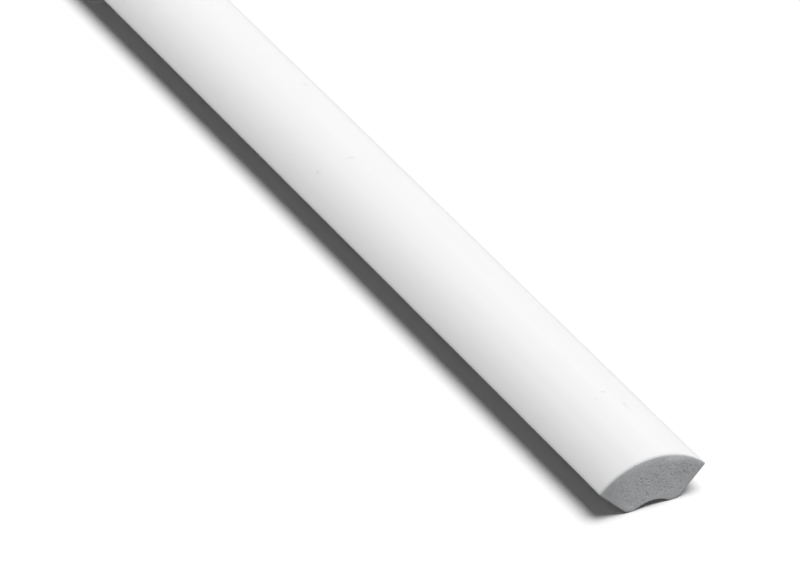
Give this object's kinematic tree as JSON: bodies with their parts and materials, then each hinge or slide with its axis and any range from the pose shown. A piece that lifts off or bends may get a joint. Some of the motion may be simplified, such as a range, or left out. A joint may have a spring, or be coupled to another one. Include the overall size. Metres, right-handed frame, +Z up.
{
  "type": "quarter round moulding",
  "caption": "Straight length of quarter round trim: a round crown over two flat legs at a right angle, with a hollow cove behind their corner.",
  "frame": {"origin": "on the floor under the middle of the length, midway between the two heels that the moulding rests on", "axes": "+X along the length, +Y across it from tip to tip, +Z up through the top of the crown"},
  "size_m": [2.4384, 0.0244, 0.0116],
  "materials": {
    "foamed_pvc": "smooth satin white skin, with fine foam cells on the cut ends"
  },
  "bodies": {
    "root": {"quarter_round": "foamed_pvc"}
  },
  "joints": []
}
